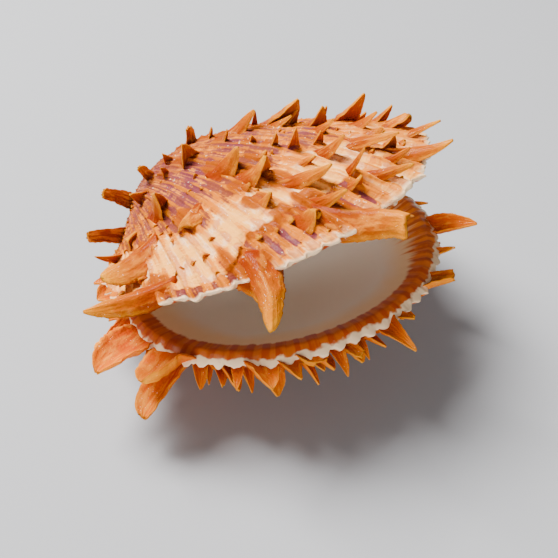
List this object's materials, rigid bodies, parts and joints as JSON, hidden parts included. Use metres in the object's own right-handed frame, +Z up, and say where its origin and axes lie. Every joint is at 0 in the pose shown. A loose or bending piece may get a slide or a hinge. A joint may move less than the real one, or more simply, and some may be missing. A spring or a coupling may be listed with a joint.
{
  "type": "spiny oyster shell",
  "caption": "Gaping spiny oyster shell: two ribbed, bowl-shaped valves that meet at a straight hinge, with guttered spines all over the outside.",
  "frame": {"origin": "middle of the flat scar under the lower valve, on which the shell rests", "axes": "+Z up, away from the scar; X along the hinge line; the hinge is at +Y and the valves open towards -Y"},
  "size_m": [0.1052, 0.0879, 0.0613],
  "materials": {
    "upper_shell": "satin shell: salmon-orange and purple ribs, orange spines, cream growth bands, white inside",
    "lower_shell": "satin shell: orange spines, cream crimped rim, orange band inside the rim, white inside"
  },
  "bodies": {
    "root": {"upper_valve": "upper_shell", "lower_valve": "lower_shell"}
  },
  "joints": []
}
